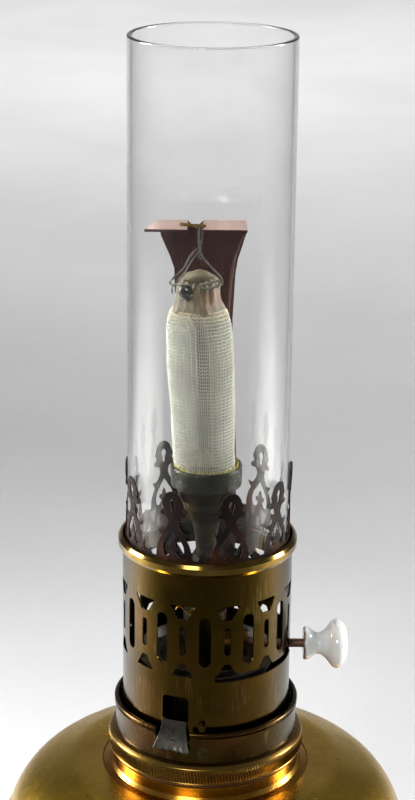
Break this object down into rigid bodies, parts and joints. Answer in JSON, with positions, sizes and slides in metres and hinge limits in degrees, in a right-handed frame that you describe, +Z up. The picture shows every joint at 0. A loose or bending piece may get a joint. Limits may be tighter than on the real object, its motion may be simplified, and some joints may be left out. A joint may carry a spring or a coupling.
{
  "type": "oil lamp",
  "caption": "Table lamp that burns spirit vapour in a knitted mantle: brass font on a spreading foot, pierced gallery, glass chimney and a valve knob.",
  "frame": {"origin": "middle of the underside of the foot", "axes": "+Z up along the font's axis, +X towards the valve's knob, -Y is the front with the priming window to its left"},
  "size_m": [0.1324, 0.1324, 0.3639],
  "materials": {
    "spun_brass": "aged, satin",
    "polished_brass": "worn bright",
    "dark_brass": "tarnished",
    "orange_brass": "aged",
    "spindle_steel": "rusty",
    "crown_steel": "burnt, rusty",
    "copper": "heat-stained copper",
    "lead_grey": "dull tin",
    "cast_weight": "rough",
    "felt": "felt",
    "leather_washer": "pressed",
    "graphite_packing": "packed",
    "cotton": "woven wick",
    "gauze": "woven wire",
    "mantle_knit": "knitted, stiff",
    "thread": "twisted",
    "button_glaze": "glossy",
    "porcelain": "glazed",
    "clear_glass": "clear"
  },
  "bodies": {
    "lamp": {"foot": "spun_brass", "foot_felt": "felt", "foot_weight": "cast_weight", "tie_rod": "spindle_steel", "tie_nut": "spindle_steel", "waist_knop": "polished_brass", "font_lower": "spun_brass", "font_upper": "spun_brass", "font_seam_band": "spun_brass", "font_neck": "orange_brass"},
    "washer": {"neck_washer": "leather_washer"},
    "burner": {"knurled_ring": "polished_brass", "threaded_sleeve": "polished_brass", "burner_base": "dark_brass", "wick_tubes": "dark_brass", "wicks": "cotton", "vaporiser": "dark_brass", "priming_dish": "lead_grey", "valve_body": "dark_brass", "gland_packing": "graphite_packing", "gland_nut": "polished_brass", "vapour_riser": "dark_brass", "riser_nut": "polished_brass", "jet_nozzle": "polished_brass", "mixing_tube": "dark_brass", "burner_cup": "dark_brass", "head_rim": "dark_brass", "burner_gauze": "gauze", "gauze_collar": "gauze", "rim_lug": "dark_brass", "heat_conductor": "copper", "conductor_rivets": "copper"},
    "valve": {"valve_spindle": "spindle_steel", "spindle_pinion": "spindle_steel", "porcelain_knob": "porcelain", "knob_insert": "polished_brass"},
    "needle": {"needle_rack": "polished_brass", "jet_needle": "spindle_steel"},
    "mantle_set": {"mantle": "mantle_knit", "mantle_thread": "thread", "mantle_button": "button_glaze", "hanging_pin": "polished_brass"},
    "gallery_set": {"gallery": "dark_brass", "gallery_studs": "polished_brass", "priming_spout": "lead_grey", "chimney_ledge": "dark_brass", "crown": "crown_steel"},
    "chimney": {"glass_chimney": "clear_glass"}
  },
  "joints": [
    {"name": "burner_rise", "type": "slide", "parent": "lamp", "child": "washer", "axis": [0, 0, 1], "range_m": [0, 0.0045]},
    {"name": "burner_unscrew", "type": "hinge", "parent": "washer", "child": "burner", "pos_m": [0, 0, 0.13], "axis": [0, 0, 1], "range_deg": [0, 1080]},
    {"name": "knob_turn", "type": "hinge", "parent": "burner", "child": "valve", "pos_m": [-0.0006, 0, 0.1707], "axis": [-1, 0, 0], "range_deg": [0, 80]},
    {"name": "needle_lift", "type": "slide", "parent": "burner", "child": "needle", "axis": [0, 0, 1], "range_m": [0, 0.00335]},
    {"name": "mantle_lift", "type": "slide", "parent": "burner", "child": "mantle_set", "axis": [0, 0, 1], "range_m": [0, 0.008]},
    {"name": "gallery_lift", "type": "slide", "parent": "burner", "child": "gallery_set", "axis": [0, 0, 1], "range_m": [0, 0.165]},
    {"name": "chimney_lift", "type": "slide", "parent": "gallery_set", "child": "chimney", "axis": [0, 0, 1], "range_m": [0, 0.11]}
  ],
  "couplings": [
    {"joint": "burner_unscrew", "follows": "burner_rise", "rad_per_m": 4188.8},
    {"joint": "knob_turn", "follows": "needle_lift", "rad_per_m": 416.67}
  ]
}
